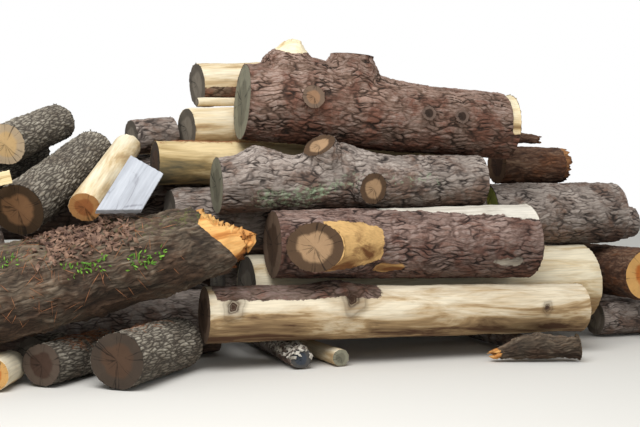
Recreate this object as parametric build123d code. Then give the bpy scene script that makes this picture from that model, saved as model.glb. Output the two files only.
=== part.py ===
from build123d import *
import os
import numpy as np

# Stack of felled pine and oak logs, each log a solid of its own, in millimetres.
# X runs along the front logs, Y away from the viewer, Z up, with the ground at z = 0.
# A log's start is the middle of its left or near end, its turn the angle from X to its axis.

# Clearances and fineness
seat_gap = 0.4
station_spacing = 620
humped_spacing = 170
log_sides = 20
small_log_sides = 12
small_log_diameter = 300
limb_sides = 12
sample_step = 24
samples_per_side = 4
drop_height = 3600.0

# Bearers on the ground, running in depth under the bottom logs
left_bearer_length = 2850
left_bearer_near_diameter = 200
left_bearer_far_diameter = 380
left_bearer_y = -195
middle_bearer_length = 1300
middle_bearer_near_diameter = 165
middle_bearer_far_diameter = 160
middle_bearer_x = 1200
middle_bearer_y = -160
right_bearer_length = 3000
right_bearer_near_diameter = 165
right_bearer_far_diameter = 300
right_bearer_y = -320

torn_stump_length = 840
torn_stump_left_diameter = 140
torn_stump_right_diameter = 270
torn_stump_y = -640

# Bottom tier
peeled_bottom_length = 3620
peeled_bottom_left_diameter = 534
peeled_bottom_right_diameter = 510
peeled_bottom_x = 0
peeled_bottom_y = 0
pale_log_length = 3600
pale_log_left_diameter = 700
pale_log_right_diameter = 800
pale_log_x = 545
pale_log_y = 700
third_base_length = 3660
third_base_left_diameter = 640
third_base_right_diameter = 740
third_base_x = 450
third_base_y = 1500
fourth_base_length = 3660
fourth_base_left_diameter = 600
fourth_base_right_diameter = 640
fourth_base_x = 330
fourth_base_y = 2260
left_base_length = 2650
left_base_left_diameter = 620
left_base_right_diameter = 640
left_base_y = 950
left_back_base_length = 2800
left_back_base_left_diameter = 640
left_back_base_right_diameter = 640
left_back_base_y = 1620

# Mossy log, leaning from the ground over the peeled bottom log
mossy_log_length = 3690
mossy_log_left_diameter = 780
mossy_log_right_diameter = 640
mossy_log_x = -3150
mossy_log_y = -170
mossy_log_belly = 70

# Second tier
forked_log_length = 2480
forked_log_left_diameter = 640
forked_log_right_diameter = 760
forked_log_x = 650
forked_log_y = 180
second_tier_length = 3120
second_tier_left_diameter = 710
second_tier_right_diameter = 690
second_tier_x = -120
second_tier_y = 960
second_back_length = 2900
second_back_left_diameter = 600
second_back_right_diameter = 640
second_back_x = 100
second_back_y = 1680
second_left_length = 2100
second_left_left_diameter = 560
second_left_right_diameter = 560
second_left_x = -2300
second_left_y = 1250
right_base_length = 1400
right_base_left_diameter = 400
right_base_right_diameter = 410
right_base_y = 760
right_back_base_length = 1500
right_back_base_left_diameter = 400
right_back_base_right_diameter = 400
right_back_base_y = 1750
orange_log_length = 2200
orange_log_near_diameter = 580
orange_log_far_diameter = 560
orange_log_y = 240
right_grey_length = 1500
right_grey_left_diameter = 690
right_grey_right_diameter = 680
right_grey_y = 960

# Third tier
lichen_log_length = 2560
lichen_log_left_diameter = 540
lichen_log_right_diameter = 530
lichen_log_x = 197
lichen_log_y = 400
yellow_log_length = 3300
yellow_log_left_diameter = 440
yellow_log_right_diameter = 420
yellow_log_x = -258
yellow_log_y = 960
third_tier_length = 3300
third_tier_left_diameter = 440
third_tier_right_diameter = 540
third_tier_x = -400
third_tier_y = 1560
third_back_length = 2600
third_back_left_diameter = 560
third_back_right_diameter = 560
third_back_x = -420
third_back_y = 2160
rotten_log_length = 820
rotten_log_left_diameter = 440
rotten_log_right_diameter = 430
rotten_log_y = 1150

# Third tier at the left, behind the mossy log
third_left_length = 1570
third_left_left_diameter = 580
third_left_right_diameter = 600
third_left_x = -2000
third_left_y = 1300
left_prop_length = 850
left_prop_left_diameter = 760
left_prop_right_diameter = 680
left_prop_x = -2450
left_prop_y = 560
leaning_oak_length = 1540
leaning_oak_near_diameter = 470
leaning_oak_far_diameter = 450
leaning_oak_x = -1517
leaning_oak_y = 0
upper_oak_length = 1000
upper_oak_near_diameter = 390
upper_oak_far_diameter = 380
upper_oak_x = -1599
upper_oak_y = 480
left_edge_length = 1300
left_edge_near_diameter = 400
left_edge_far_diameter = 380
left_edge_x = -1960
left_edge_y = 400
orange_ended_length = 1350
orange_ended_near_diameter = 280
orange_ended_far_diameter = 260
orange_ended_x = -996
orange_ended_y = -60

# Short logs on the ground
front_oak_length = 1000
front_oak_near_diameter = 480
front_oak_far_diameter = 480
front_oak_x = -830
front_oak_y = -640
second_oak_length = 850
second_oak_near_diameter = 370
second_oak_far_diameter = 370
second_oak_x = -1300
second_oak_y = -380
shaded_log_length = 340
shaded_log_near_diameter = 340
shaded_log_far_diameter = 340
shaded_log_x = -1400
shaded_log_y = 160
corner_log_length = 430
corner_log_near_diameter = 280
corner_log_far_diameter = 280
corner_log_x = -2050
corner_log_y = -430

# Right side, behind the pale log
lower_right_length = 1900
lower_right_left_diameter = 400
lower_right_right_diameter = 380
lower_right_y = 1600
far_right_length = 1700
far_right_left_diameter = 420
far_right_right_diameter = 400
far_right_y = 2050
thin_pole_length = 1200
thin_pole_near_diameter = 150
thin_pole_far_diameter = 130
thin_pole_y = 1500

# Offcuts
slab_thickness = 70
slab_lower_edge = 377
slab_left_edge = 627
slab_right_edge = 412
slab_side_angle = 56
slab_lean = 30
slab_turn = 6
slab_x = -935
slab_y = -200
wedge_length = 420
wedge_width = 150
wedge_height = 110
wedge_x = -1560
wedge_y = -60
rotten_chunk_length = 450
rotten_chunk_left_diameter = 170
rotten_chunk_right_diameter = 120
rotten_chunk_y = 1160

# Cut limbs and the fork: reach from the log's axis to the cut, and the cut's diameter
fork_reach = 900
fork_cut_diameter = 450
fork_slant = 32
lichen_top_limb_reach = 450
lichen_top_limb_cut = 330
lichen_front_limb_reach = 385
lichen_front_limb_cut = 310
broken_limb_reach = 650
broken_limb_cut = 170
flat_limb_reach = 540
flat_limb_cut = 430
front_knot_reach = 425
front_knot_cut = 230
small_knot_cut = 150
knot_stand = 22
oak_branch_reach = 420
oak_branch_cut = 150

# Top tiers
top_log_length = 2670
top_log_left_diameter = 740
top_log_right_diameter = 690
top_log_x = 506
top_log_y = 700
pale_back_length = 1600
pale_back_left_diameter = 440
pale_back_right_diameter = 420
pale_back_x = 99
pale_back_y = 1260
upper_back_length = 1700
upper_back_left_diameter = 480
upper_back_right_diameter = 440
upper_back_x = 258
upper_back_y = 1540
small_pale_length = 1500
small_pale_left_diameter = 250
small_pale_right_diameter = 240
small_pale_x = -260
small_pale_y = 1850
grey_ended_length = 420
grey_ended_left_diameter = 370
grey_ended_right_diameter = 360
grey_ended_x = -410
grey_ended_y = 1390
small_top_length = 1300
small_top_left_diameter = 100
small_top_right_diameter = 90
small_top_x = 200
small_top_y = 1290

# How far logs reach past, or stand clear of, the ends of the logs that carry them
left_bearer_overhang = 800
right_bearer_overhang = 570
stump_beside_bearer = 570
left_base_gap = 245
left_back_base_gap = 100
right_base_gap = 145
right_back_base_gap = 90
orange_log_inset = 310
right_grey_overlap = 1035
rotten_log_inset = 240
rotten_chunk_inset = 130
lower_right_reach = 1300
far_right_reach = 700
thin_pole_inset = 190

# Places along the stack that follow from those ends
left_bearer_x = peeled_bottom_x + left_bearer_overhang
right_bearer_x = peeled_bottom_x + peeled_bottom_length - right_bearer_overhang
torn_stump_x = right_bearer_x - stump_beside_bearer
left_base_x = pale_log_x - left_base_gap - left_base_length
left_back_base_x = third_base_x - left_back_base_gap - left_back_base_length
right_base_x = pale_log_x + pale_log_length + right_base_gap
right_back_base_x = third_base_x + third_base_length + right_back_base_gap
orange_log_x = right_base_x + orange_log_inset
right_grey_x = pale_log_x + pale_log_length - right_grey_overlap
rotten_log_x = right_grey_x + rotten_log_inset
rotten_chunk_x = rotten_log_x + rotten_chunk_inset
lower_right_x = orange_log_x - lower_right_reach
far_right_x = orange_log_x - far_right_reach
thin_pole_x = orange_log_x + thin_pole_inset


def swelling(angle, middle):
    """One at the given angle round the log, falling smoothly to nothing behind it."""
    return ((1 + np.cos(angle - np.radians(middle))) / 2) ** 3


class Log:
    """A tapering, slightly crooked and oval stem between two sawn ends, in flat facets."""

    def __init__(self, name, length, left, right, x, y, turn=0, bow=0, sway=0, oval=0.03,
                 roll=0, belly=0, humps=()):
        self.name = name
        self.length = length
        self.left = left / 2
        self.right = right / 2
        self.x = x
        self.y = y
        self.turn = np.radians(turn)
        self.bow = bow
        self.sway = sway
        self.oval = oval
        self.roll = np.radians(roll)
        self.belly = belly
        self.humps = humps
        self.heights = np.array([drop_height, drop_height])
        small = max(left, right) < small_log_diameter
        self.sides = small_log_sides if small else log_sides
        spacing = humped_spacing if humps else station_spacing
        self.stations = np.linspace(0, length, max(3, round(length / spacing) + 1))
        self.corners = np.linspace(0, 2 * np.pi, self.sides, endpoint=False)
        self.reaches = np.array([self.radius(station, self.corners) for station in self.stations])
        alongs = np.linspace(0, length, max(12, int(length / sample_step)))
        turns = np.linspace(0, 2 * np.pi, self.sides * samples_per_side, endpoint=False)
        grid, around = np.meshgrid(alongs, turns, indexing="ij")
        self.along = grid.ravel()
        self.around = around.ravel()
        self.surface = self.points(self.along, self.around)

    def radius(self, along, around):
        """The round stem's radius, before it is cut into facets."""
        part = along / self.length
        plain = self.left + (self.right - self.left) * part + self.belly * 4 * part * (1 - part)
        for at, amount, width, angle in self.humps:
            plain = plain + amount * np.exp(-((along - at) / width) ** 2) * swelling(around, angle)
        lobes = np.cos(2 * (around - self.roll)) + 0.5 * np.cos(3 * around + self.roll + 1.5 * part)
        return plain * (1 + self.oval * lobes)

    def middle(self, along):
        """Offsets of the crooked axis from the straight line, to the back and up."""
        part = self.stations / self.length
        arch = np.interp(along, self.stations, 4 * part * (1 - part))
        return self.bow * arch, self.sway * arch

    def facet_radius(self, along, around):
        """The radius to the flat facets between the stations and corners."""
        place = np.clip(np.interp(along, self.stations, np.arange(len(self.stations))), 0, None)
        low = np.minimum(place.astype(int), len(self.stations) - 2)
        share = place - low
        step = 2 * np.pi / self.sides
        angle = np.mod(around, 2 * np.pi)
        first = np.minimum((angle / step).astype(int), self.sides - 1)
        second = (first + 1) % self.sides
        reach = self.reaches
        near = reach[low, first] * (1 - share) + reach[low + 1, first] * share
        far = reach[low, second] * (1 - share) + reach[low + 1, second] * share
        within = angle - first * step
        return near * far * np.sin(step) / (near * np.sin(within) + far * np.sin(step - within))

    def points(self, along, around):
        back, up = self.middle(along)
        radius = self.facet_radius(along, around)
        return np.stack([along, back + radius * np.cos(around), up + radius * np.sin(around)], -1)

    def axes(self):
        rise = np.clip((self.heights[1] - self.heights[0]) / self.length, -0.9, 0.9)
        run = np.sqrt(1 - rise * rise)
        forward = np.array([run * np.cos(self.turn), run * np.sin(self.turn), rise])
        back = np.array([-np.sin(self.turn), np.cos(self.turn), 0])
        return np.array([forward, back, np.cross(forward, back)])

    def place(self, local):
        return np.array([self.x, self.y, self.heights[0]]) + local @ self.axes()

    def height_over(self, world):
        """How far each point lies above this log's upper side, seat gap included."""
        axes = self.axes()
        local = (world - np.array([self.x, self.y, self.heights[0]])) @ axes.T
        along = np.clip(local[:, 0], 0, self.length)
        back, up = self.middle(along)
        side = local[:, 1] - back
        rise = local[:, 2] - up
        reach = self.facet_radius(along, np.arctan2(rise, side)) + seat_gap
        over = (local[:, 0] == along) & (abs(side) < reach * 0.995)
        height = np.full(len(world), 1e9)
        height[over] = (rise[over] - np.sqrt(reach[over] ** 2 - side[over] ** 2)) / axes[2][2]
        return height


def clearance(world, carriers):
    """Heights of points over the ground and over the logs already laid."""
    height = world[:, 2].copy()
    for other in carriers:
        height = np.minimum(height, other.height_over(world))
    return height


def lowest(log, half, carriers):
    """The smallest height of one half of a log over its carriers, and where along it is."""
    height = clearance(log.place(log.surface[half]), carriers)
    nearest = np.argmin(height)
    along, around = log.along[half][nearest], log.around[half][nearest]
    alongs = np.clip(np.linspace(along - sample_step, along + sample_step, 25), 0, log.length)
    arounds = around + np.linspace(-1, 1, 17) * 2 * np.pi / (log.sides * samples_per_side)
    grid, turns = np.meshgrid(alongs, arounds)
    finer = clearance(log.place(log.points(grid.ravel(), turns.ravel())), carriers)
    best = np.argmin(finer)
    return min(finer[best], height[nearest]), grid.ravel()[best] / log.length


def below(outline, laid):
    """The logs already laid whose plan overlaps that of the given points."""
    found = []
    for other in laid:
        plan = other.place(other.surface)[:, :2]
        if (plan.min(0) < outline.max(0)).all() and (plan.max(0) > outline.min(0)).all():
            found.append(other)
    return found


def settle(log, laid):
    """Lower a log until both its halves rest on the ground or on logs already laid."""
    carriers = below(log.place(log.surface)[:, :2], laid)
    under = np.sin(log.around) < 0.3
    left_half = under & (log.along < log.length / 2)
    right_half = under & (log.along >= log.length / 2)
    for step in range(14):
        left_height, left_part = lowest(log, left_half, carriers)
        right_height, right_part = lowest(log, right_half, carriers)
        if max(abs(left_height), abs(right_height)) < 0.03:
            break
        if right_part - left_part < 0.08:
            move = np.full(2, -min(left_height, right_height))
        else:
            parts = [[1 - left_part, left_part], [1 - right_part, right_part]]
            move = np.linalg.solve(parts, [-left_height, -right_height])
        log.heights = log.heights + move * min(1, 500 / max(1, abs(move).max()))
    height = min(lowest(log, left_half, carriers)[0], lowest(log, right_half, carriers)[0])
    log.heights = log.heights - min(height, 0)


def side_gap(log, other):
    """The smallest gap between two logs' sides, each measured against the other's points."""
    gap = 1e9
    for one, two in ((log, other), (other, log)):
        axes = one.axes()
        local = (two.place(two.surface) - np.array([one.x, one.y, one.heights[0]])) @ axes.T
        local = local[(local[:, 0] >= 0) & (local[:, 0] <= one.length)]
        if len(local):
            back, up = one.middle(local[:, 0])
            side, rise = local[:, 1] - back, local[:, 2] - up
            reach = one.facet_radius(local[:, 0], np.arctan2(rise, side))
            gap = min(gap, (np.hypot(side, rise) - reach).min())
    return gap


def push(log, heading, target):
    """Slide a log on the ground until its side meets the target log."""
    step = np.array([np.cos(np.radians(heading)), np.sin(np.radians(heading))])
    start = np.array([log.x, log.y])
    clear, met = 0.0, 400.0
    for halving in range(14):
        trial = (clear + met) / 2
        log.x, log.y = start + step * trial
        if side_gap(log, target) > seat_gap:
            clear = trial
        else:
            met = trial
    log.x, log.y = start + step * clear


logs = []


def lay(*sizes, heading=None, against=None, **shape):
    """Lay one more log on those already laid, or push it along the ground against one."""
    log = Log(*sizes, **shape)
    settle(log, logs)
    if against:
        push(log, heading, against)
    logs.append(log)
    return log


# Bearers and bottom tier
left_bearer = lay("left_bearer_log", left_bearer_length, left_bearer_near_diameter, left_bearer_far_diameter,
    x=left_bearer_x, y=left_bearer_y, turn=90)
lay("middle_bearer_log", middle_bearer_length, middle_bearer_near_diameter,
    middle_bearer_far_diameter, x=middle_bearer_x, y=middle_bearer_y, turn=97,
    heading=180, against=left_bearer)
right_bearer = lay("right_bearer_log", right_bearer_length, right_bearer_near_diameter,
    right_bearer_far_diameter, x=right_bearer_x, y=right_bearer_y, turn=91)
lay("torn_stump", torn_stump_length, torn_stump_left_diameter, torn_stump_right_diameter,
    x=torn_stump_x, y=torn_stump_y, turn=-15, humps=((430, 110, 190, 80),), heading=90, against=right_bearer)
peeled_bottom = lay("peeled_bottom_log", peeled_bottom_length, peeled_bottom_left_diameter,
    peeled_bottom_right_diameter, x=peeled_bottom_x, y=peeled_bottom_y, oval=0.02, humps=((1150, 50, 170, 95),))
lay("pale_log", pale_log_length, pale_log_left_diameter, pale_log_right_diameter,
    x=pale_log_x, y=pale_log_y, turn=1.6, oval=0.02)
lay("third_base_log", third_base_length, third_base_left_diameter, third_base_right_diameter,
    x=third_base_x, y=third_base_y, turn=1.7)
lay("fourth_base_log", fourth_base_length, fourth_base_left_diameter,
    fourth_base_right_diameter, x=fourth_base_x, y=fourth_base_y, turn=1)
left_base = lay("left_base_log", left_base_length, left_base_left_diameter, left_base_right_diameter,
    x=left_base_x, y=left_base_y, turn=-1)
lay("left_back_base_log", left_back_base_length, left_back_base_left_diameter,
    left_back_base_right_diameter, x=left_back_base_x, y=left_back_base_y, turn=-1)
lay("right_base_log", right_base_length, right_base_left_diameter, right_base_right_diameter,
    x=right_base_x, y=right_base_y, turn=2)
lay("right_back_base_log", right_back_base_length, right_back_base_left_diameter,
    right_back_base_right_diameter, x=right_back_base_x, y=right_back_base_y, turn=-1)
lay("front_oak_log", front_oak_length, front_oak_near_diameter, front_oak_far_diameter,
    x=front_oak_x, y=front_oak_y, turn=52, heading=0, against=peeled_bottom)
shaded = lay("shaded_log", shaded_log_length, shaded_log_near_diameter, shaded_log_far_diameter,
    x=shaded_log_x, y=shaded_log_y, turn=40, heading=90, against=left_base)
second_oak = lay("second_oak_log", second_oak_length, second_oak_near_diameter, second_oak_far_diameter,
    x=second_oak_x, y=second_oak_y, turn=50, heading=140, against=shaded)
lay("corner_log", corner_log_length, corner_log_near_diameter, corner_log_far_diameter,
    x=corner_log_x, y=corner_log_y, turn=70, heading=0, against=second_oak)
lay("mossy_log", mossy_log_length, mossy_log_left_diameter, mossy_log_right_diameter,
    x=mossy_log_x, y=mossy_log_y, turn=2, belly=mossy_log_belly, oval=0.02)

# Second tier
lay("forked_log", forked_log_length, forked_log_left_diameter, forked_log_right_diameter,
    x=forked_log_x, y=forked_log_y, turn=-0.5)
lay("second_tier_log", second_tier_length, second_tier_left_diameter,
    second_tier_right_diameter, x=second_tier_x, y=second_tier_y)
lay("second_tier_back_log", second_back_length, second_back_left_diameter,
    second_back_right_diameter, x=second_back_x, y=second_back_y, turn=1)
lay("second_tier_left_log", second_left_length, second_left_left_diameter,
    second_left_right_diameter, x=second_left_x, y=second_left_y)
lay("orange_log", orange_log_length, orange_log_near_diameter, orange_log_far_diameter,
    x=orange_log_x, y=orange_log_y, turn=88)
lay("right_grey_log", right_grey_length, right_grey_left_diameter, right_grey_right_diameter,
    x=right_grey_x, y=right_grey_y)

# Third tier
lay("lichen_log", lichen_log_length, lichen_log_left_diameter, lichen_log_right_diameter,
    x=lichen_log_x, y=lichen_log_y, humps=((390, 120, 170, 95), (1160, 130, 260, 90)))
lay("yellow_log", yellow_log_length, yellow_log_left_diameter, yellow_log_right_diameter,
    x=yellow_log_x, y=yellow_log_y, turn=3)
lay("third_tier_log", third_tier_length, third_tier_left_diameter, third_tier_right_diameter,
    x=third_tier_x, y=third_tier_y, turn=2)
lay("third_tier_back_log", third_back_length, third_back_left_diameter,
    third_back_right_diameter, x=third_back_x, y=third_back_y, turn=1)
lay("rotten_log", rotten_log_length, rotten_log_left_diameter, rotten_log_right_diameter,
    x=rotten_log_x, y=rotten_log_y)
lay("rotten_chunk", rotten_chunk_length, rotten_chunk_left_diameter,
    rotten_chunk_right_diameter, x=rotten_chunk_x, y=rotten_chunk_y, turn=2)
lay("lower_right_log", lower_right_length, lower_right_left_diameter,
    lower_right_right_diameter, x=lower_right_x, y=lower_right_y)
lay("far_right_log", far_right_length, far_right_left_diameter, far_right_right_diameter,
    x=far_right_x, y=far_right_y)
lay("thin_pole", thin_pole_length, thin_pole_near_diameter, thin_pole_far_diameter,
    x=thin_pole_x, y=thin_pole_y, turn=80)
lay("left_prop_log", left_prop_length, left_prop_left_diameter, left_prop_right_diameter,
    x=left_prop_x, y=left_prop_y)
lay("third_tier_left_log", third_left_length, third_left_left_diameter,
    third_left_right_diameter, x=third_left_x, y=third_left_y)
lay("left_edge_log", left_edge_length, left_edge_near_diameter, left_edge_far_diameter,
    x=left_edge_x, y=left_edge_y, turn=60)
lay("leaning_oak_log", leaning_oak_length, leaning_oak_near_diameter, leaning_oak_far_diameter,
    x=leaning_oak_x, y=leaning_oak_y, turn=60)
lay("upper_oak_log", upper_oak_length, upper_oak_near_diameter, upper_oak_far_diameter,
    x=upper_oak_x, y=upper_oak_y, turn=60)
lay("orange_ended_log", orange_ended_length, orange_ended_near_diameter,
    orange_ended_far_diameter, x=orange_ended_x, y=orange_ended_y, turn=66)

# Top tiers
lay("top_log", top_log_length, top_log_left_diameter, top_log_right_diameter,
    x=top_log_x, y=top_log_y, turn=-2, humps=((560, 150, 330, 95), (1150, 60, 260, 85)))
lay("grey_ended_log", grey_ended_length, grey_ended_left_diameter, grey_ended_right_diameter,
    x=grey_ended_x, y=grey_ended_y, turn=12)
lay("small_pale_log", small_pale_length, small_pale_left_diameter, small_pale_right_diameter,
    x=small_pale_x, y=small_pale_y, turn=8)
lay("pale_back_log", pale_back_length, pale_back_left_diameter, pale_back_right_diameter,
    x=pale_back_x, y=pale_back_y, turn=13)
lay("small_top_log", small_top_length, small_top_left_diameter, small_top_right_diameter,
    x=small_top_x, y=small_top_y, turn=12)
lay("upper_back_log", upper_back_length, upper_back_left_diameter, upper_back_right_diameter,
    x=upper_back_x, y=upper_back_y, turn=8)


def polygon(corners):
    return Face(Wire.make_polygon([Vector(*corner) for corner in corners], close=True))


def stem(log):
    """The log's solid, lofted through its sections."""
    sections = []
    for station in log.stations:
        ring = log.points(np.full(log.sides, station), log.corners)
        sections.append(polygon(log.place(ring)))
    return loft(sections, ruled=True).solids()[0]


def limb(log, along, around, lean, reach, root, cut, flare=None, slant=0):
    """A cut limb: a tapering solid from inside the log's axis to its sawn or broken end.

    The flare is its radius near the log's surface, and the slant tilts its last cut."""
    radial = np.array([0, np.cos(np.radians(around)), np.sin(np.radians(around))])
    forward = np.array([1.0, 0, 0])
    out = np.cos(np.radians(lean)) * radial + np.sin(np.radians(lean)) * forward
    across = np.cross(out, radial if abs(lean) > 1 else forward)
    across = across / np.linalg.norm(across)
    beside = np.cross(out, across)
    back, up = log.middle(along)
    start = np.array([along, float(back), float(up)])
    corners = np.linspace(0, 2 * np.pi, limb_sides, endpoint=False)
    sections = []
    flare = flare or (root + cut / 2) / 2
    for share, radius, tilt in ((0.1, root, 0), (0.62, flare, 0), (1, cut / 2, slant)):
        spread = np.outer(np.cos(corners), across) + np.outer(np.sin(corners), beside)
        spread = spread + np.outer(np.sin(corners) * np.tan(np.radians(tilt)), out)
        sections.append(polygon(log.place(start + out * reach * share + spread * radius)))
    return loft(sections, ruled=True).solids()[0]


def trimmed(solid, log, along, rise, tilt):
    """Cut off what lies beyond a plane that crosses the log, tilted up or down."""
    axes = log.axes()
    normal = np.array([np.cos(np.radians(tilt)), 0, np.sin(np.radians(tilt))]) @ axes
    origin = log.place(np.array([along, 0, rise]))
    plane = Plane(origin=Vector(*origin), z_dir=Vector(*normal))
    return split(solid, bisect_by=plane, keep=Keep.BOTTOM).solids()[0]


def rested(solid, samples):
    """Lower an offcut until one of its sample points meets a log."""
    outline = np.array([[point.X, point.Y, point.Z] for point in samples])
    carriers = below(outline[:, :2], logs)
    drop = 0
    for step in range(12):
        drop += clearance(outline - np.array([0, 0, drop]), carriers).min()
    return solid.moved(Location((0, 0, -drop)))


def face_points(solid):
    """Points spread over an offcut's faces, from each face's centre out to its edges."""
    points = []
    for face in solid.faces():
        centre = face.center()
        for edge in face.edges():
            for share in np.linspace(0, 1, 61):
                outward = edge @ share - centre
                points += [centre + outward * part for part in np.linspace(0, 1, 31)]
    return points


by_name = {log.name: log for log in logs}
pieces = {log.name: stem(log) for log in logs}


def add_limb(name, **size):
    joined = pieces[name] + limb(by_name[name], **size)
    pieces[name] = joined.solids()[0]


# The fork of the forked log, sawn off towards the viewer's left
add_limb("forked_log", along=980, around=180, lean=-56, reach=fork_reach, root=300,
         cut=fork_cut_diameter, slant=fork_slant)

# Limbs of the lichen log: one on its top, one to the front
add_limb("lichen_log", along=1130, around=118, lean=-30, reach=lichen_top_limb_reach, root=240,
         cut=lichen_top_limb_cut, flare=205)
add_limb("lichen_log", along=1270, around=188, lean=12, reach=lichen_front_limb_reach, root=200,
         cut=lichen_front_limb_cut)

# Limbs of the top log: one broken, one sawn flat, and knots on its front
add_limb("top_log", along=360, around=93, lean=8, reach=broken_limb_reach, root=300,
         cut=broken_limb_cut, flare=275)
add_limb("top_log", along=1020, around=92, lean=0, reach=flat_limb_reach, root=330,
         cut=flat_limb_cut, flare=330)
add_limb("top_log", along=566, around=170, lean=0, reach=front_knot_reach, root=170,
         cut=front_knot_cut)
for along in (1700, 2035):
    log = by_name["top_log"]
    surface = float(log.facet_radius(np.array([along]), np.array([np.pi]))[0])
    add_limb("top_log", along=along, around=175, lean=0, reach=surface + knot_stand, root=120,
             cut=small_knot_cut)

# A side branch on the leaning oak
add_limb("leaning_oak_log", along=760, around=-35, lean=25, reach=oak_branch_reach, root=130,
         cut=oak_branch_cut)

# The mossy log's broken end comes to a point at half its height
mossy = by_name["mossy_log"]
pieces["mossy_log"] = trimmed(pieces["mossy_log"], mossy, mossy_log_length - 15, 0, 47)
pieces["mossy_log"] = trimmed(pieces["mossy_log"], mossy, mossy_log_length - 15, -20, -34)

# The grey sawn slab, leaning back on the mossy log
side = np.array([np.cos(np.radians(slab_side_angle)), np.sin(np.radians(slab_side_angle))])
slab_outline = Polygon(
    (0, 0), (slab_lower_edge, 0),
    (slab_lower_edge + slab_right_edge * side[0], slab_right_edge * side[1]),
    (slab_left_edge * side[0], slab_left_edge * side[1]), align=None)
slab = extrude(Plane.XZ * slab_outline, slab_thickness).solids()[0]
slab = slab.rotate(Axis.X, -slab_lean).rotate(Axis.Z, slab_turn)
slab = slab.moved(Location((slab_x, slab_y, drop_height)))
pieces["weathered_slab"] = rested(slab, face_points(slab))

# The pale wedge at the left, lying on the mossy log
wedge_outline = Polygon((0, 0), (wedge_width, 0), (wedge_width, wedge_height), align=None)
wedge = extrude(Plane.XZ * wedge_outline, wedge_length).solids()[0]
mossy_slope = np.degrees(np.arcsin(mossy.axes()[0][2]))
wedge = wedge.rotate(Axis.Z, -90).rotate(Axis.Y, -mossy_slope)
wedge = wedge.moved(Location((wedge_x, wedge_y, drop_height)))
pieces["sawn_wedge"] = rested(wedge, face_points(wedge))

# The origin lies on the ground under the middle of the whole stack
box = Compound(list(pieces.values())).bounding_box()
to_origin = Location((-box.center().X, -box.center().Y, -box.min.Z))

os.makedirs("parts", exist_ok=True)
for name, solid in pieces.items():
    placed = solid.moved(to_origin)
    placed.label = name
    export_step(placed, f"parts/{name}.step")
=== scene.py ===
import math

import bpy
import numpy as np
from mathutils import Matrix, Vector


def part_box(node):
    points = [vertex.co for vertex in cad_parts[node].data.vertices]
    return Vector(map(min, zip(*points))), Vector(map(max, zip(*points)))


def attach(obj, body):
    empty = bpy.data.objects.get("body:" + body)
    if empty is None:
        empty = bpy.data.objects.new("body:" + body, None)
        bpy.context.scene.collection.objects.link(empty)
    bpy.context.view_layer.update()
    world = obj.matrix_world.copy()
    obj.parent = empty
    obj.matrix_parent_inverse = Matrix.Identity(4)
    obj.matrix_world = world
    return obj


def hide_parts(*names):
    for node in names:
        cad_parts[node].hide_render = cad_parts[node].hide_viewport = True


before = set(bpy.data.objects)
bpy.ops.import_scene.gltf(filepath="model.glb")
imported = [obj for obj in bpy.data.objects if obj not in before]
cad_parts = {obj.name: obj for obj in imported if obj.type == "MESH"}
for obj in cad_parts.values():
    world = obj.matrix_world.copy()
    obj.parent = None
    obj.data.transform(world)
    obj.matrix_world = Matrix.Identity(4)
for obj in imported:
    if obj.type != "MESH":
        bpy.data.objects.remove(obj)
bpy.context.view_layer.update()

# A stack of felled pine and oak logs. Every log is re-skinned over its own solid: the bark's
# plates and ridges are real relief, and the sawn ends stay flat. Lengths are in metres.

bpy.ops.object.select_all(action="DESELECT")


def paint(hex_colour):
    """An sRGB hex colour as the linear RGBA that a shader takes."""
    parts = [int(hex_colour[i:i + 2], 16) / 255 for i in (1, 3, 5)]
    linear = [c / 12.92 if c <= 0.04045 else ((c + 0.055) / 1.055) ** 2.4 for c in parts]
    return (*linear, 1)


def node(tree, kind, inputs=(), out=0, **settings):
    """Add a node with its settings and links, and give back one of its output sockets."""
    made = tree.nodes.new(kind)
    for name, value in settings.items():
        setattr(made, name, value)
    for socket, value in dict(inputs).items():
        if isinstance(value, bpy.types.NodeSocket):
            tree.links.new(value, made.inputs[socket])
        else:
            made.inputs[socket].default_value = value
    return made.outputs[out]


# Bark reliefs, each a pattern from 0 in its furrows to 1 on its plates

def warped(tree, place, scale, amount):
    """The place moved about by soft noise, so that no pattern runs straight."""
    noise = node(tree, "ShaderNodeTexNoise", {"Vector": place, "Scale": scale, "Detail": 2.0},
                 out=1)
    centred = node(tree, "ShaderNodeVectorMath", {0: noise, 1: (0.5, 0.5, 0.5)},
                   operation="SUBTRACT")
    moved = node(tree, "ShaderNodeVectorMath", {0: centred, "Scale": amount}, operation="SCALE")
    return node(tree, "ShaderNodeVectorMath", {0: place, 1: moved}, operation="ADD")


def grained(tree, place, along, across, **settings):
    """Noise drawn out along the log, by its scale along the log and its scale across."""
    drawn = node(tree, "ShaderNodeVectorMath", {0: place, 1: (along, across, across)},
                 operation="MULTIPLY")
    return node(tree, "ShaderNodeTexNoise", {"Vector": drawn, "Scale": 1.0, **settings})


def layers(tree, total, *parts):
    """A value with each part added to it, times the part's weight."""
    for part, weight in parts:
        total = node(tree, "ShaderNodeMath", {0: part, 1: weight, 2: total},
                     operation="MULTIPLY_ADD")
    return total


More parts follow.
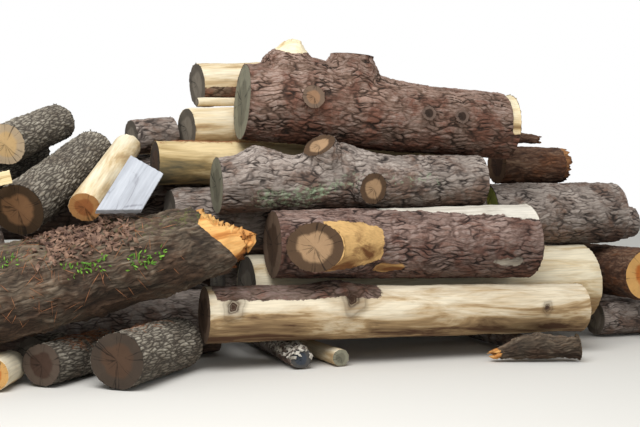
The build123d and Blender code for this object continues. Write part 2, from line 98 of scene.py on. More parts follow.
def plated(tree, place, length, width, warp, edge):
    """Plates of one length and width: how far each point is in from its plate's edge."""
    bent = warped(tree, place, 5.0, warp)
    fitted = node(tree, "ShaderNodeVectorMath",
                  {0: bent, 1: (1 / length, 1 / width, 1 / width)}, operation="MULTIPLY")
    away = node(tree, "ShaderNodeTexVoronoi", {"Vector": fitted, "Scale": 1.0},
                feature="DISTANCE_TO_EDGE")
    plate = node(tree, "ShaderNodeMapRange", {"Value": away, "From Max": edge},
                 interpolation_type="SMOOTHSTEP")
    tone = node(tree, "ShaderNodeTexVoronoi", {"Vector": fitted, "Scale": 1.0}, out=1,
                feature="F1")
    level = node(tree, "ShaderNodeSeparateXYZ", {0: tone}, out=0)
    return plate, level


def pine_plates(tree, place):
    """Pine bark: long scaly plates, each of layered flakes, with furrows that fade in places."""
    plate, level = plated(tree, place, 0.22, 0.048, 0.13, 0.17)
    flake, flake_level = plated(tree, place, 0.07, 0.017, 0.06, 0.25)
    fade = node(tree, "ShaderNodeTexNoise", {"Vector": place, "Scale": 6.5, "Detail": 3.0})
    fade = node(tree, "ShaderNodeMapRange", {"Value": fade, "From Min": 0.38, "From Max": 0.62,
                                             "To Min": 0.3, "To Max": 1.0})
    furrow = node(tree, "ShaderNodeMath", {0: 1.0, 1: plate}, operation="SUBTRACT")
    furrow = node(tree, "ShaderNodeMath", {0: furrow, 1: fade}, operation="MULTIPLY")
    plate = node(tree, "ShaderNodeMath", {0: 1.0, 1: furrow}, operation="SUBTRACT")
    grit = grained(tree, place, 17.0, 48.0, Detail=4.0, Roughness=0.65)
    layered = layers(tree, 0.0, (flake, 0.17), (level, 0.22), (flake_level, 0.2), (grit, 0.6))
    height = node(tree, "ShaderNodeMath", {0: plate, 1: layered}, operation="MULTIPLY")
    return height, flake_level


def oak_ridges(tree, place):
    """Oak bark: long hard ridges that part and join, with narrow furrows between."""
    ridge, level = plated(tree, place, 0.13, 0.026, 0.05, 0.30)
    check, check_level = plated(tree, place, 0.045, 0.015, 0.03, 0.3)
    grit = grained(tree, place, 25.0, 70.0, Detail=3.0)
    layered = layers(tree, 0.12, (check, 0.25), (level, 0.28), (grit, 0.4))
    furrowed = node(tree, "ShaderNodeMapRange", {"Value": ridge, "To Min": 0.12})
    height = node(tree, "ShaderNodeMath", {0: furrowed, 1: layered}, operation="MULTIPLY")
    return height, check_level


def old_bark(tree, place):
    """Old bark, worn and rotting: long rough ridges with shreds, and broad hollows."""
    ridge, level = plated(tree, place, 0.60, 0.050, 0.20, 0.30)
    shred, shred_level = plated(tree, place, 0.16, 0.014, 0.05, 0.4)
    hollow = grained(tree, place, 2.2, 6.0, Detail=6.0, Roughness=0.7, Distortion=0.5)
    grit = grained(tree, place, 12.0, 60.0, Detail=4.0, Roughness=0.65)
    layered = layers(tree, -0.05, (level, 0.2), (ridge, 0.3), (shred, 0.2), (grit, 0.6))
    hollowed = node(tree, "ShaderNodeMapRange",
                    {"Value": hollow, "From Min": 0.3, "From Max": 0.62, "To Min": 0.25},
                    interpolation_type="SMOOTHSTEP")
    height = node(tree, "ShaderNodeMath", {0: layered, 1: hollowed}, operation="MULTIPLY")
    return height, shred_level


def bare_grain(tree, place):
    """Wood under the bark: smooth, with low swells and grain that runs along the log."""
    swell = grained(tree, place, 1.2, 7.0, Detail=4.0)
    fine = grained(tree, place, 5.0, 70.0, Detail=3.0)
    return layers(tree, swell, (fine, 0.25)), fine


def relief_tree(pattern):
    """A modifier's nodes that write three values to the mesh: the bark's relief, the stem's
    broad lumps, and the lengths of the splinters that a broken end has."""
    tree = bpy.data.node_groups.new("relief_" + pattern.__name__, "GeometryNodeTree")
    tree.interface.new_socket("Geometry", in_out="INPUT", socket_type="NodeSocketGeometry")
    tree.interface.new_socket("Geometry", in_out="OUTPUT", socket_type="NodeSocketGeometry")
    geometry = node(tree, "NodeGroupInput")
    place = node(tree, "GeometryNodeInputNamedAttribute", {"Name": "log_place"},
                 data_type="FLOAT_VECTOR")
    height = pattern(tree, place)[0]
    lump = node(tree, "ShaderNodeTexNoise", {"Vector": place, "Scale": 3.0, "Detail": 2.0})
    splinter = grained(tree, place, 2.0, 24.0, Detail=3.0)
    for name, value in (("relief", height), ("lump", lump), ("splinter", splinter)):
        geometry = node(tree, "GeometryNodeStoreNamedAttribute",
                        {"Geometry": geometry, "Name": name, "Value": value})
    end = tree.nodes.new("NodeGroupOutput")
    tree.links.new(geometry, end.inputs[0])
    return tree


reliefs = {pattern.__name__: relief_tree(pattern)
           for pattern in (pine_plates, oak_ridges, old_bark, bare_grain)}


# Materials

def toned(tree, value, colour, *steps):
    """A colour that gives way to others, each where the value crosses a range of its own."""
    for low, high, other in steps:
        share = node(tree, "ShaderNodeMapRange", {"Value": value, "From Min": low,
                                                  "From Max": high})
        colour = node(tree, "ShaderNodeMix", {0: share, 6: colour, 7: other}, out=2,
                      data_type="RGBA")
    return colour


def shaded(tree, colour, value, dark, light, low=0.0, high=1.0):
    """A colour scaled from dark to light as the value goes from low to high."""
    scale = node(tree, "ShaderNodeMapRange", {"Value": value, "From Min": low,
                                              "From Max": high, "To Min": dark,
                                              "To Max": light})
    return node(tree, "ShaderNodeVectorMath", {0: colour, "Scale": scale}, operation="SCALE")


def blank_material(name):
    """A material whose node tree is empty, and the tree."""
    material = bpy.data.materials.new(name)
    material.use_nodes = True
    material.node_tree.nodes.clear()
    return material, material.node_tree


def surface(tree, inputs):
    """End a material with a shader of these inputs."""
    shader = node(tree, "ShaderNodeBsdfPrincipled", inputs)
    output = tree.nodes.new("ShaderNodeOutputMaterial")
    tree.links.new(shader, output.inputs["Surface"])

def sawn_colour(tree):
    """A sawn end: heartwood and sapwood with rings, radial drying cracks and grey stain."""
    place = node(tree, "ShaderNodeAttribute", attribute_name="cut_place", out=1)
    rim = node(tree, "ShaderNodeAttribute", attribute_name="cut_rim", out=2)
    heart = node(tree, "ShaderNodeAttribute", attribute_name="heart", out=0)
    sap = node(tree, "ShaderNodeAttribute", attribute_name="sap", out=0)
    flat = node(tree, "ShaderNodeVectorMath", {0: place, 1: (0.0, 1.0, 1.0)},
                operation="MULTIPLY")
    bent = warped(tree, flat, 6.0, 0.035)
    reach = node(tree, "ShaderNodeVectorMath", {0: bent}, out=1, operation="LENGTH")
    # Rings are drawn 11 mm apart, about three times as coarse as real ones, so that they show
    turns = node(tree, "ShaderNodeMath", {0: reach, 1: 2 * math.pi / 0.011},
                 operation="MULTIPLY")
    ring = node(tree, "ShaderNodeMath", {0: turns}, operation="SINE")
    blotch = node(tree, "ShaderNodeTexNoise", {"Vector": flat, "Scale": 7.0, "Detail": 4.0,
                                               "Roughness": 0.6})
    edge = layers(tree, rim, (blotch, 0.45))
    share = node(tree, "ShaderNodeMapRange", {"Value": edge, "From Min": 0.72, "From Max": 0.86},
                 interpolation_type="SMOOTHSTEP")
    wood = node(tree, "ShaderNodeMix", {0: share, 6: heart, 7: sap}, out=2, data_type="RGBA")
    shade = layers(tree, 0.65, (ring, 0.07), (blotch, 0.55))
    wood = node(tree, "ShaderNodeVectorMath", {0: wood, "Scale": shade}, operation="SCALE")
    # Radial cracks: a pattern of directions from the pith, cut off near the pith and rim
    bearing = node(tree, "ShaderNodeVectorMath", {0: bent}, operation="NORMALIZE")
    spread = node(tree, "ShaderNodeVectorMath", {0: bearing, "Scale": 1.7}, operation="SCALE")
    spread = node(tree, "ShaderNodeVectorMath", {0: spread, 1: heart}, operation="ADD")
    crack = node(tree, "ShaderNodeTexVoronoi", {"Vector": spread, "Scale": 1.0},
                 feature="DISTANCE_TO_EDGE")
    width = node(tree, "ShaderNodeMapRange", {"Value": rim, "From Min": 0.08, "From Max": 0.5,
                                              "To Min": 0.07, "To Max": 0.02})
    crack = node(tree, "ShaderNodeMath", {0: crack, 1: width}, operation="DIVIDE")
    crack = node(tree, "ShaderNodeMapRange", {"Value": crack, "From Min": 0.5, "From Max": 1.0,
                                              "To Min": 0.3})
    closed = node(tree, "ShaderNodeMapRange", {"Value": blotch, "From Min": 0.42,
                                               "From Max": 0.58, "To Min": 0.35})
    crack = node(tree, "ShaderNodeMath", {0: crack, 1: closed}, operation="MAXIMUM")
    wood = node(tree, "ShaderNodeVectorMath", {0: wood, "Scale": crack}, operation="SCALE")
    return wood, rim, crack


def log_material(name, pattern, colours, wood, moss="#5c6a2c", inner="#8a5a45"):
    """A log's whole finish: bark, the bare wood where it is off, moss, and the sawn ends."""
    material, tree = blank_material(name)
    place = node(tree, "ShaderNodeAttribute", attribute_name="log_place", out=1)
    height, tone = pattern(tree, place)
    # Bark: dark in its furrows and paler on its plates, with broad weathered patches
    deep, middle, high, other = (paint(colour) for colour in colours)
    mixed_high = node(tree, "ShaderNodeMix", {0: tone, 6: high, 7: other}, out=2,
                      data_type="RGBA")
    bark = toned(tree, height, deep, (0.02, 0.33, middle), (0.3, 0.78, mixed_high))
    # Painted light and shade: the upper side is scaled paler and the lower side darker; the lower
    # side also shows more of the redder inner bark
    rise = node(tree, "ShaderNodeSeparateXYZ", {0: place}, out=2)
    top_light_and_weathering = node(tree, "ShaderNodeMapRange", {"Value": rise, "From Min": -0.24, "From Max": 0.16},
               interpolation_type="SMOOTHSTEP")
    # Painted shade on the lower side and painted light on the upper side
    bark = shaded(tree, bark, top_light_and_weathering, 0.66, 1.08)
    patch = node(tree, "ShaderNodeTexNoise", {"Vector": place, "Scale": 2.6, "Detail": 4.0,
                                              "Roughness": 0.6})
    bark = shaded(tree, bark, patch, 0.72, 1.22, 0.3, 0.7)
    scraped = node(tree, "ShaderNodeTexNoise", {"Vector": place, "Scale": 3.7, "Detail": 6.0,
                                                "Roughness": 0.7, "Distortion": 0.4}, out=1)
    scraped = node(tree, "ShaderNodeSeparateXYZ", {0: scraped}, out=1)
    scraped = layers(tree, scraped, (top_light_and_weathering, -0.08))
    scraped = node(tree, "ShaderNodeMapRange", {"Value": scraped, "From Min": 0.41,
                                                "From Max": 0.54, "To Max": 0.8})
    scraped_bark = node(tree, "ShaderNodeMix", {0: height, 6: deep, 7: paint(inner)}, out=2,
                        data_type="RGBA")
    bark = node(tree, "ShaderNodeMix", {0: scraped, 6: bark, 7: scraped_bark}, out=2,
                data_type="RGBA")
    # Bare wood: long stains and fibres along the log, with painted light making it paler on the
    # upper side and darker below
    dark_wood, mid_wood, pale_wood = (paint(colour) for colour in wood)
    stain_and_top_light = grained(tree, place, 1.1, 6.0, Detail=5.0, Roughness=0.62, Distortion=0.6)
    # Painted light: the bare wood is paler on the upper side and darker below
    stain_and_top_light = layers(tree, stain_and_top_light, (top_light_and_weathering, 0.2))
    fibre = grained(tree, place, 4.0, 60.0, Detail=3.0)
    bare_wood = toned(tree, stain_and_top_light, dark_wood, (0.44, 0.62, mid_wood), (0.58, 0.76, pale_wood))
    # Where it is freshly torn, the wood is yellow
    torn_wood = toned(tree, stain_and_top_light, paint("#6d4526"), (0.44, 0.62, paint("#cda56c")))
    fresh = node(tree, "ShaderNodeAttribute", attribute_name="fresh", out=2)
    bare_wood = node(tree, "ShaderNodeMix", {0: fresh, 6: bare_wood, 7: torn_wood}, out=2,
                     data_type="RGBA")
    bare_wood = shaded(tree, bare_wood, fibre, 0.84, 1.08, 0.3, 0.7)
    # Where the bark is off, with a torn edge
    bare = node(tree, "ShaderNodeAttribute", attribute_name="bare", out=2)
    torn = node(tree, "ShaderNodeTexNoise", {"Vector": place, "Scale": 10.0, "Detail": 5.0,
                                             "Roughness": 0.65})
    bare = layers(tree, bare, (torn, 0.9))
    bare = node(tree, "ShaderNodeMapRange", {"Value": bare, "From Min": 0.9, "From Max": 0.98})
    colour = node(tree, "ShaderNodeMix", {0: bare, 6: bark, 7: bare_wood}, out=2,
                  data_type="RGBA")
    # Knots: darker towards the heart, with faint rings
    knot = node(tree, "ShaderNodeAttribute", attribute_name="knot", out=2)
    knot_ring = node(tree, "ShaderNodeMath", {0: knot, 1: 28.0}, operation="MULTIPLY")
    knot_ring = node(tree, "ShaderNodeMath", {0: knot_ring}, operation="SINE")
    knot_ring = layers(tree, 0.85, (knot_ring, 0.2))
    knot = layers(tree, knot, (knot, torn))
    knot = node(tree, "ShaderNodeMath", {0: knot, 1: knot_ring}, operation="MULTIPLY",
                use_clamp=True)
    colour = node(tree, "ShaderNodeMix", {0: knot, 6: colour, 7: paint("#3f2d22")}, out=2,
                  data_type="RGBA")
    # Moss and lichen in spots
    moss_share = node(tree, "ShaderNodeAttribute", attribute_name="moss", out=2)
    spots = node(tree, "ShaderNodeTexNoise", {"Vector": place, "Scale": 22.0, "Detail": 5.0,
                                              "Roughness": 0.7})
    moss_share = layers(tree, moss_share, (spots, 1.1))
    colour = toned(tree, moss_share, colour, (1.02, 1.22, paint(moss)))
    # Sawn ends, out to a thin edge of bark
    sawn, rim, crack = sawn_colour(tree)
    depth = node(tree, "ShaderNodeSeparateXYZ",
                 {0: node(tree, "ShaderNodeAttribute", attribute_name="cut_place", out=1)})
    on_cut = node(tree, "ShaderNodeMath", {0: depth, 1: 0.0035}, operation="LESS_THAN")
    inside = layers(tree, rim, (torn, 0.05))
    inside = node(tree, "ShaderNodeMath", {0: inside, 1: 0.965}, operation="LESS_THAN")
    cut_share = node(tree, "ShaderNodeMath", {0: on_cut, 1: inside}, operation="MULTIPLY")
    colour = node(tree, "ShaderNodeMix", {0: cut_share, 6: colour, 7: sawn}, out=2,
                  data_type="RGBA")
    # Relief finer than the mesh
    bark_left = node(tree, "ShaderNodeMath", {0: 1.0, 1: bare}, operation="SUBTRACT")
    bump_height = node(tree, "ShaderNodeMath", {0: height, 1: bark_left}, operation="MULTIPLY")
    bump_height = layers(tree, bump_height, (fibre, 0.12))
    off_cut = node(tree, "ShaderNodeMath", {0: 1.0, 1: cut_share}, operation="SUBTRACT")
    bump_height = node(tree, "ShaderNodeMath", {0: bump_height, 1: off_cut},
                       operation="MULTIPLY")
    crack_depth = node(tree, "ShaderNodeMath", {0: crack, 1: 0.25}, operation="MULTIPLY")
    bump_height = layers(tree, bump_height, (crack_depth, cut_share))
    normal = node(tree, "ShaderNodeBump", {"Height": bump_height, "Strength": 0.6,
                                           "Distance": 0.012})
    surface(tree, {"Base Color": colour, "Roughness": 0.9, "Normal": normal,
                   "Specular IOR Level": 0.25})
    return material


peeled_tones = ("#543a28", "#b0946c", "#ded1b8")
pale_tones = ("#9a7b55", "#cdb68e", "#e6dabf")
bleached_tones = ("#6b6259", "#b3a99b", "#dcd5c8")
yellow_tones = ("#55503f", "#a38a5c", "#d6c094")
torn_tones = ("#6a3d1c", "#bd7c3e", "#e0ae6c")
straw_tones = ("#8d714c", "#cdb488", "#e9dcbc")
rotten_tones = ("#33211a", "#6f4a30", "#a8794e")

# Reddish brown pine bark of the top log
brown_pine = log_material("brown_pine_bark", pine_plates,
                          ("#271e19", "#675144", "#a8948a", "#8a6f62"), straw_tones,
                          inner="#784835")
# Grey pine bark, weathered longer
grey_pine = log_material("grey_pine_bark", pine_plates,
                         ("#312b28", "#756a63", "#b5aaa1", "#93867d"), bleached_tones,
                         moss="#8d9c80", inner="#795a49")
# Purple-brown bark of the forked log
purple_pine = log_material("purple_pine_bark", pine_plates,
                           ("#261d1a", "#66524a", "#a29088", "#83695e"), bleached_tones,
                           inner="#70483a")
# Oak bark: hard pale grey ridges
grey_oak = log_material("grey_oak_bark", oak_ridges,
                        ("#36302a", "#7c7468", "#aca598", "#938c7d"), peeled_tones,
                        moss="#6b7434", inner="#77695a")
# Old bark with moss, dark and damp
mossy_old = log_material("mossy_old_bark", old_bark,
                         ("#191411", "#4a3f34", "#857868", "#675342"), torn_tones,
                         moss="#5b6433", inner="#5d4433")
# Peeled pine, stained brown where bark sat longest
peeled_pine = log_material("peeled_pine_wood", pine_plates,
                           ("#2a211c", "#5d4c41", "#83736a", "#76605a"), peeled_tones)
# Peeled pine, fresh and pale
fresh_pine = log_material("fresh_peeled_pine", pine_plates,
                          ("#3a2c20", "#6e5a48", "#97836e", "#8a755f"), pale_tones)
# Peeled pine gone yellow
yellow_pine = log_material("yellow_peeled_pine", pine_plates,
                           ("#2c2420", "#625850", "#8f867c", "#7d7268"), yellow_tones)
# Rotten wood, dark, and brown where it is broken
rotten_wood = log_material("rotten_wood", old_bark,
                           ("#1d1511", "#4f382c", "#8b735f", "#6f513d"), rotten_tones,
                           moss="#7d8a3c", inner="#7a4a2c")


# Geometry of a log, read from its own solid

class LogShape:
    """A log's axes and flat cuts, found from the triangles of its solid."""

    def __init__(self, name):
        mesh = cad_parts[name].data
        points = np.array([v.co for v in mesh.vertices])
        faces = np.array([p.vertices for p in mesh.polygons])
        corners = points[faces]
        normals = np.cross(corners[:, 1] - corners[:, 0], corners[:, 2] - corners[:, 0])
        areas = np.linalg.norm(normals, axis=1)
        normals = normals / np.maximum(areas, 1e-12)[:, None]
        offsets = (normals * corners[:, 0]).sum(1)
        self.cuts = []
        left = np.ones(len(faces), bool)
        for first in np.argsort(-areas):
            if not left[first]:
                continue
            same = left & (normals @ normals[first] > 0.99999)
            same &= abs(offsets - offsets[first]) < 0.0008
            left &= ~same
            ring = np.unique(np.round(corners[same].reshape(-1, 3), 4), axis=0)
            if len(ring) >= 10:
                self.add_cut(ring, normals[first], areas[same].sum() / 2)
        spans = [(np.linalg.norm(a["centre"] - b["centre"]), i, j)
                 for i, a in enumerate(self.cuts) for j, b in enumerate(self.cuts)
                 if i < j and a["normal"] @ b["normal"] < -0.5]
        longest, one, two = max(spans)
        start, end = self.cuts[one], self.cuts[two]
        if (end["centre"] - start["centre"]) @ np.array([0.7, 1, 0]) < 0:
            start, end = end, start
        self.start, self.end = start, end
        self.origin = start["centre"]
        forward = -start["normal"]
        back = np.cross([0, 0, 1], forward)
        back = back / np.linalg.norm(back)
        self.axes = np.array([forward, back, np.cross(forward, back)])
        self.length = float((end["centre"] - start["centre"]) @ forward)
        self.sides = 20 if len(start["ring"]) >= 20 else 12

    def add_cut(self, ring, normal, area):
        centre = ring.mean(0)
        across = np.cross(normal, [0, 0, 1.0])
        if np.linalg.norm(across) < 0.1:
            across = np.cross(normal, [0, 1.0, 0])
        across = across / np.linalg.norm(across)
        beside = np.cross(normal, across)
        flat = np.stack([(ring - centre) @ across, (ring - centre) @ beside], -1)
        extent = np.ptp(flat, axis=0)
        radii = np.hypot(*flat.T)
        if area < 0.12 and radii.min() < 0.6 * radii.max() or extent.min() < 0.4 * extent.max():
            return
        angles = np.arctan2(flat[:, 1], flat[:, 0])
        order = np.argsort(angles)
        self.cuts.append({"centre": centre, "normal": normal, "across": across,
                          "beside": beside, "ring": ring, "angles": angles[order],
                          "radii": radii[order], "area": area})

    def local(self, points):
        return (points - self.origin) @ self.axes.T


def on_plane(points, cut):
    """How far points lie in from a cut's plane, their place on it, and their share of its radius."""
    off = points - cut["centre"]
    inward = -off @ cut["normal"]
    side, rise = off @ cut["across"], off @ cut["beside"]
    edge = np.interp(np.arctan2(rise, side), cut["angles"], cut["radii"], period=2 * np.pi)
    return inward, side, rise, np.hypot(side, rise) / edge


def smooth_step(value, low, high):
    share = np.clip((value - low) / (high - low), 0, 1)
    return share * share * (3 - 2 * share)


def store(mesh, name, values, kind="FLOAT", field="value"):
    attribute = mesh.attributes.new(name, kind, "POINT")
    attribute.data.foreach_set(field, np.ascontiguousarray(values, np.float32).ravel())


def vectors(items, field):
    """One row for each point or normal of a mesh."""
    values = np.empty(len(items) * 3, np.float32)
    items.foreach_get(field, values)
    return values.reshape(-1, 3).astype(float)


def numbers(items, field):
    values = np.empty(len(items), np.int32)
    items.foreach_get(field, values)
    return values


def take(mesh, name):
    """Read a value from the mesh's points and remove it from the mesh."""
    values = np.empty(len(mesh.vertices), np.float32)
    mesh.attributes[name].data.foreach_get("value", values)
    mesh.attributes.remove(mesh.attributes[name])
    return values.astype(float)


def degrees_round(local):
    """Each point's angle round the log: 0 on the left as seen from its start, 90 on top."""
    return np.degrees(np.mod(np.arctan2(local[:, 2], local[:, 1]), 2 * np.pi))


def knot_marks(local, degrees, reach, knots):
    """Knots at (along, around, radius, stand): a raised lip round a dark hollow."""
    dark = np.zeros(len(local))
    rise = np.zeros(len(local))
    for along, around, radius, stand in knots:
        turn = np.radians((degrees - around + 180) % 360 - 180)
        bearing = np.arctan2(turn * reach, local[:, 0] - along)
        uneven = 1 + 0.2 * np.sin(2 * bearing + 1) + 0.1 * np.sin(5 * bearing + along)
        away = np.hypot(local[:, 0] - along, turn * reach) / radius * uneven
        lip = np.exp(-((away - 1) / 0.35) ** 2)
        hollow = np.exp(-(away / 0.62) ** 2)
        rise += stand * (lip - 1.2 * hollow)
        dark = np.maximum(dark, np.clip(hollow + 0.3 * lip, 0, 1))
    return dark, rise


def choose(piece):
    """Make a piece the active one and the only one selected."""
    bpy.ops.object.select_all(action="DESELECT")
    bpy.context.view_layer.objects.active = piece
    piece.select_set(True)


def apply_modifiers(piece):
    choose(piece)
    for modifier in list(piece.modifiers):
        bpy.ops.object.modifier_apply(modifier=modifier.name)


def merged_copy(name, straighten=False):
    """A copy of a node's mesh with its points merged, and its flat faces joined if asked."""
    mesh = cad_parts[name].data.copy()
    mesh.materials.clear()
    piece = bpy.data.objects.new(name + "_skin", mesh)
    bpy.context.scene.collection.objects.link(piece)
    choose(piece)
    bpy.ops.object.mode_set(mode="EDIT")
    bpy.ops.mesh.select_all(action="SELECT")
    bpy.ops.mesh.remove_doubles(threshold=0.0001)
    if straighten:
        bpy.ops.mesh.dissolve_limited(angle_limit=math.radians(2))
    bpy.ops.object.mode_set(mode="OBJECT")
    return piece


def remesh(piece, voxel, smoothing=0):
    """Give a piece even cells and smooth them, and take the frame's attributes off it."""
    cells = piece.modifiers.new("remesh", "REMESH")
    cells.mode = "VOXEL"
    cells.voxel_size = voxel
    if smoothing:
        soften = piece.modifiers.new("soften", "SMOOTH")
        soften.factor = 0.5
        soften.iterations = smoothing
    apply_modifiers(piece)
    for attribute in list(piece.data.attributes):
        if not attribute.is_required and not attribute.is_internal:
            piece.data.attributes.remove(attribute)


# Stands for the place on a cut, or the share of its radius, of a point that no cut has
unset = 9.0
# How far in from a broken cut the splinters start, and how far out past its radius
broken_depth, broken_reach = 0.16, 1.3
# Points laid flat on a sawn cut: how many cells deep, and how far out past its radius
flat_cells, flat_reach = 0.75, 1.04
# How far out past a cut's radius points still take its colours
cut_reach = 1.6


def dress(name, finish, voxel, depth, ends=(), bare=None, fresh=None, moss=None, ragged=(),
          splinters=0.12, knots=(), lumps=0.012):
    """Skin a log: even mesh, relief of its bark, flat sawn ends, and its marks. The cuts
    are numbered start, end, then limbs, and a ragged one is broken and not sawn. Ends
    without colours of their own are grey."""
    material, pattern, slot = finish
    shape = LogShape(name)
    piece = merged_copy(name)
    remesh(piece, voxel, smoothing=3)
    mesh = piece.data
    count = len(mesh.vertices)
    points = vectors(mesh.vertices, "co")
    # Round the flat facets of the stem
    local = shape.local(points)
    step = 2 * np.pi / shape.sides
    angle = np.arctan2(local[:, 2], local[:, 1])
    rounder = np.cos(np.mod(angle, step) - step / 2) / np.cos(step / 2)
    local[:, 1:] *= rounder[:, None]
    points = shape.origin + local @ shape.axes
    # Nearest sawn cut of each point, with the points on it laid flat
    inward = np.full(count, unset)
    cut_place = np.zeros((count, 3))
    rim = np.full(count, unset)
    heart = np.zeros((count, 4))
    sap = np.zeros((count, 4))
    flat_normal = np.zeros((count, 3))
    limbs = [cut for cut in shape.cuts if cut is not shape.start and cut is not shape.end]
    ordered = [shape.start, shape.end] + sorted(limbs, key=lambda cut: -cut["area"])
    tones = list(ends) + [grey_end] * len(ordered)
    broken = np.zeros(count)
    broken_way = np.zeros((count, 3))
    for number, (cut, tone) in enumerate(zip(ordered, tones)):
        away, side, rise, share = on_plane(points, cut)
        if number in ragged:
            close_by = (1 - smooth_step(away, 0.0, broken_depth)) * (share < broken_reach)
            broken_way[close_by > broken] = -cut["normal"]
            broken = np.maximum(broken, close_by)
            continue
        near = (away > -voxel) & (away < voxel * flat_cells) & (share < flat_reach)
        points[near] += np.outer(away[near], cut["normal"])
        away[near] = 0
        closer = (abs(away) < inward) & (share < cut_reach)
        inward[closer] = abs(away[closer])
        cut_place[closer] = np.stack([abs(away), side, rise], -1)[closer]
        rim[closer] = share[closer]
        heart[closer] = paint(tone[0])
        sap[closer] = paint(tone[1])
        flat_normal[near] = cut["normal"]
    cut_place[inward == unset, 0] = unset
    local = shape.local(points)
    degrees = degrees_round(local)
    reach = np.hypot(local[:, 1], local[:, 2])
    bare_share, fresh_share, moss_share = (
        np.zeros(count) if mark is None else mark(local[:, 0], degrees, reach, shape.length)
        for mark in (bare, fresh, moss))
    bare_share = np.maximum(bare_share, smooth_step(broken, 0.1, 0.6))
    knot_share, knot_rise = knot_marks(local, degrees, reach, knots)
    seed = sum(ord(letter) * (k + 3) for k, letter in enumerate(name)) % 97
    store(mesh, "log_place", local + np.array([seed * 1.7, 0, 0]), "FLOAT_VECTOR", "vector")
    store(mesh, "cut_place", cut_place, "FLOAT_VECTOR", "vector")
    store(mesh, "cut_rim", rim)
    store(mesh, "heart", heart, "FLOAT_COLOR", "color")
    store(mesh, "sap", sap, "FLOAT_COLOR", "color")
    store(mesh, "bare", bare_share)
    store(mesh, "fresh", fresh_share)
    store(mesh, "moss", moss_share)
    store(mesh, "knot", knot_share)
    mesh.vertices.foreach_set("co", points.astype(np.float32).ravel())
    mesh.update()
    carve = piece.modifiers.new("relief", "NODES")
    carve.node_group = reliefs[pattern.__name__]
    apply_modifiers(piece)
    mesh = piece.data
    relief, lump, splinter = (take(mesh, name) for name in ("relief", "lump", "splinter"))
    normals = vectors(mesh.vertex_normals, "vector")
    bark_depth = depth * (1 - np.clip(relief, 0, 1)) * (1 - bare_share)
    bark_depth += bare_share * (depth * 0.9 + 0.004 * (1 - np.clip(relief, 0, 1)))
    bark_depth += lumps * np.clip(1.6 * (0.62 - lump), 0, 1) / 0.6 - knot_rise
    move = -normals * bark_depth[:, None]
    torn_off = np.clip((splinter - 0.34) / 0.32, 0, 1) * splinters
    move += broken_way * (broken * torn_off)[:, None]
    move -= flat_normal * (move * flat_normal).sum(1)[:, None]
    points = points + move
    mesh.vertices.foreach_set("co", points.astype(np.float32).ravel())
    # Sharp edges round the sawn ends
    flat_point = (flat_normal != 0).any(1)
    loops = numbers(mesh.loops, "vertex_index")
    loop_edges = numbers(mesh.loops, "edge_index")
    starts = numbers(mesh.polygons, "loop_start")
    flat_face = np.logical_and.reduceat(flat_point[loops], starts)
    face_of_loop = np.repeat(np.arange(len(starts)), np.diff(np.append(starts, len(loops))))
    touching = np.zeros(len(mesh.edges))
    np.add.at(touching, loop_edges, flat_face[face_of_loop].astype(float))
    sharp = mesh.attributes.new("sharp_edge", "BOOLEAN", "EDGE")
    sharp.data.foreach_set("value", touching == 1)
    mesh.polygons.foreach_set("use_smooth", np.ones(len(starts), bool))
    mesh.materials.append(material)
    mesh.update()
    piece.name = name.replace("_log", "") + "_dressed"
    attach(piece, "root")
    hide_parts(name)
    return piece


# Sawn ends: heartwood and sapwood colours
grey_end = ("#7d7468", "#5f574d")
pale_end = ("#c9a878", "#b7a184")
dark_end = ("#4a3728", "#6a5646")
orange_end = ("#b3672c", "#c99a5c")
rust_end = ("#9c6238", "#b5824f")
brown_end = ("#503c2e", "#443930")
rotten_end = ("#4a3020", "#6b5039")
oak_end = ("#7d5b3e", "#41301f")
damp_end = ("#46342a", "#574a40")
green_grey_end = ("#6f6c5c", "#83806e")
tan_end = ("#a38464", "#54402f")
knot_end = ("#8a6a50", "#6d5a4b")
painted_hollow_shade_end = ("#33261e", "#66544a")
# Painted shade: a dark end that stands in for the shade inside a hollow knot
slate_end = ("#3c4149", "#4c4a48")
mossy_end = ("#c9c45a", "#8f9448")
bark_end = ("#7a6355", "#6b564a")


def band(value, low, high, soft=0.05):
    return smooth_step(value, low - soft, low + soft) * (1 - smooth_step(value, high - soft,
                                                                          high + soft))


# Marks on a log, each a share from 0 to 1 at every point, worked out from its place along the
# log, its degrees round it, its distance from the middle line, and the log's length

def all_bare(along, around, reach, length):
    return np.ones(len(along))


def strip_of_bark(along, around, reach, length):
    """Peeled, but for bark along the top near the left end."""
    return 1 - band(along, 0.05, 1.55, 0.1) * band(around, 84, 146, 14)


def forked_bare(along, around, reach, length):
    """Bleached along the top right, pale below right, and torn beside the fork."""
    edge = 108 + 24 * (along - 1.0)
    top = smooth_step(along, 0.6, 1.3) * (around > 60) * smooth_step(edge - around, -18, 18)
    low = band(along, 1.98, 2.33, 0.12) * band(around, 200, 218, 12)
    fork = band(along, 0.3, 0.93, 0.08) * band(around, 152, 204, 10)
    patch = band(along, 0.86, 1.16, 0.10) * band(around, 210, 228, 12)
    torn = np.maximum(fork * smooth_step(reach, 0.33, 0.37), patch)
    return np.maximum(np.maximum(top, 0.8 * low), torn)


def forked_fresh(along, around, reach, length):
    return (along < 1.5) * (around > 146) * (around < 250) * 1.0


def orange_end_bare(along, around, reach, length):
    """The broken end's wood, bare on the side that faces the front."""
    edge = length - 0.40 + 0.0035 * abs(around - 140)
    return smooth_step(along - edge, -0.03, 0.03) * band(around, 60, 235, 15)


def bare_right_end(along, around, reach, length):
    """The wood bare at the right end, and torn on the broken limb."""
    end = smooth_step(along, length - 0.10, length - 0.06) * (1 - smooth_step(around, 185, 205))
    return np.maximum(end, smooth_step(reach, 0.50, 0.57) * band(along, 0.1, 0.62))


def peeled_front(along, around, reach, length):
    return band(around, 80, 190, 15)


